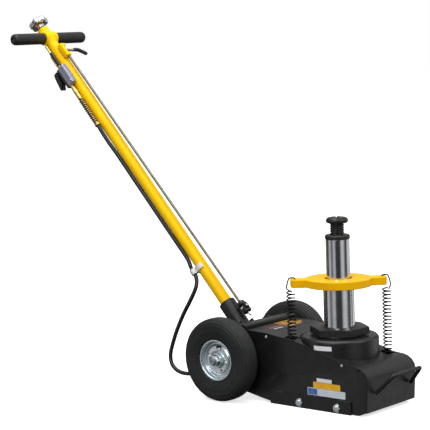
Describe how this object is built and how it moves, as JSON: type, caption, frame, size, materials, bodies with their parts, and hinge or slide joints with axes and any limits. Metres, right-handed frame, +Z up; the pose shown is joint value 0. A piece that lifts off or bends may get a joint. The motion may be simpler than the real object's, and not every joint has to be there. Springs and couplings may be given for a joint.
{
  "type": "two-stage air and hydraulic axle jack",
  "caption": "Wheeled lifting jack with a two-stage hydraulic ram and screw-out saddle, steered by a long handle that carries the air valve and release.",
  "frame": {"origin": "on the floor, under the centre of the ram, on the underside of the base plate", "axes": "+X points forwards from the axle to the nose, +Y to the right-hand wheel, +Z up; the handle leans back over -X"},
  "size_m": [1.1951, 0.346, 0.9311],
  "materials": {
    "black_paint": "satin black enamel",
    "yellow_paint": "glossy yellow enamel",
    "zinc_plate": "bright blue zinc plating",
    "black_oxide": "oiled black oxide",
    "bare_steel": "turned steel",
    "hard_chrome": "ground hard chrome",
    "brass": "turned brass",
    "valve_alloy": "anodised die casting",
    "grip_rubber": "moulded rubber",
    "hose_rubber": "smooth rubber hose",
    "tyre_rubber": "moulded solid rubber",
    "black_plastic": "moulded nylon",
    "white_plastic": "moulded nylon"
  },
  "bodies": {
    "chassis": {"side_plate_left": "black_paint", "side_plate_right": "black_paint", "side_rail_left": "black_paint", "side_rail_right": "black_paint", "rail_bolt_rear_left": "zinc_plate", "rail_bolt_front_left": "zinc_plate", "rail_bolt_rear_right": "zinc_plate", "rail_bolt_front_right": "zinc_plate", "base_plate": "black_paint", "top_cover": "black_paint", "front_cover": "black_paint", "rear_crossmember": "black_paint", "rear_plate": "black_paint", "carry_handle": "black_paint", "cylinder_housing": "black_paint", "hydraulic_cylinder": "bare_steel", "hex_gland": "black_oxide", "return_spring_left": "black_oxide", "return_spring_right": "black_oxide", "axle": "bare_steel", "axle_nut_left": "zinc_plate", "axle_nut_right": "zinc_plate", "pump_block": "bare_steel", "air_motor_cylinder": "bare_steel", "air_inlet": "brass", "lock_sector": "bare_steel", "air_hose_loop": "hose_rubber"},
    "stage1": {"stage1_ram": "hard_chrome", "stage1_seal": "grip_rubber", "stage1_gland_nut": "black_oxide", "lift_plate": "yellow_paint"},
    "stage2": {"stage2_ram": "hard_chrome", "stage2_collar": "black_oxide"},
    "saddle": {"saddle_screw": "black_oxide"},
    "wheel_left": {"tyre_left": "tyre_rubber", "rim_left": "zinc_plate", "wheel_bush_left": "brass"},
    "wheel_right": {"tyre_right": "tyre_rubber", "rim_right": "zinc_plate", "wheel_bush_right": "brass"},
    "handle": {"handle_socket": "black_paint", "handle_tube": "yellow_paint", "cross_bar": "bare_steel", "grip_left": "grip_rubber", "grip_right": "grip_rubber", "lever_bracket": "yellow_paint", "inlet_fitting": "brass", "valve_body": "valve_alloy", "hose_fitting": "brass", "hose_relief_spring": "black_oxide", "air_hose_upper": "hose_rubber", "hose_clip": "white_plastic"},
    "release_rod": {"release_rod": "hard_chrome", "universal_joint": "black_oxide", "release_lever": "hard_chrome", "lever_grip": "grip_rubber"},
    "trigger": {"valve_trigger": "black_plastic"},
    "lock": {"lock_knob": "hard_chrome"},
    "spindle": {"release_spindle": "bare_steel"},
    "piston": {"air_piston": "bare_steel"}
  },
  "joints": [
    {"name": "stage1_lift", "type": "slide", "parent": "chassis", "child": "stage1", "axis": [0, 0, 1], "range_m": [-0.09, 0.018], "deforming": ["return_spring_left", "return_spring_right"]},
    {"name": "stage2_lift", "type": "slide", "parent": "stage1", "child": "stage2", "axis": [0, 0, 1], "range_m": [-0.088, 0.028]},
    {"name": "saddle_screw_out", "type": "slide", "parent": "stage2", "child": "saddle", "axis": [0, 0, 1], "range_m": [-0.0265, 0.05]},
    {"name": "wheel_spin_left", "type": "hinge", "parent": "chassis", "child": "wheel_left", "pos_m": [-0.249, -0.14, 0.1], "axis": [0, 1, 0], "continuous": true},
    {"name": "wheel_spin_right", "type": "hinge", "parent": "chassis", "child": "wheel_right", "pos_m": [-0.249, 0.14, 0.1], "axis": [0, 1, 0], "continuous": true},
    {"name": "handle_tilt", "type": "hinge", "parent": "chassis", "child": "handle", "pos_m": [-0.249, 0, 0.1], "axis": [0, 1, 0], "range_deg": [-30, 32], "deforming": ["air_hose_loop"]},
    {"name": "release_turn", "type": "hinge", "parent": "handle", "child": "release_rod", "pos_m": [-0.30299, 0, 0.21152], "axis": [-0.678, 0, 0.7351], "range_deg": [-50, 0], "stiffness_Nm_per_rad": 0.5, "springref_deg": 17.19},
    {"name": "trigger_press", "type": "hinge", "parent": "handle", "child": "trigger", "pos_m": [-0.88236, -0.025, 0.77577], "axis": [0, 1, 0], "range_deg": [-12, 0], "stiffness_Nm_per_rad": 0.5, "springref_deg": 8.59},
    {"name": "handle_lock", "type": "slide", "parent": "handle", "child": "lock", "axis": [-0.6691, 0, 0.7431], "range_m": [-0.01, 0]},
    {"name": "spindle_turn", "type": "hinge", "parent": "chassis", "child": "spindle", "pos_m": [-0.18, 0.028, 0.0885], "axis": [0, 0, 1], "range_deg": [-50, 0]},
    {"name": "piston_stroke", "type": "slide", "parent": "chassis", "child": "piston", "axis": [0, 1, 0], "range_m": [0, 0.04], "stiffness_N_per_m": 300, "springref_m": -0.01}
  ],
  "couplings": [
    {"joint": "spindle_turn", "follows": "release_turn", "ratio": 1}
  ]
}
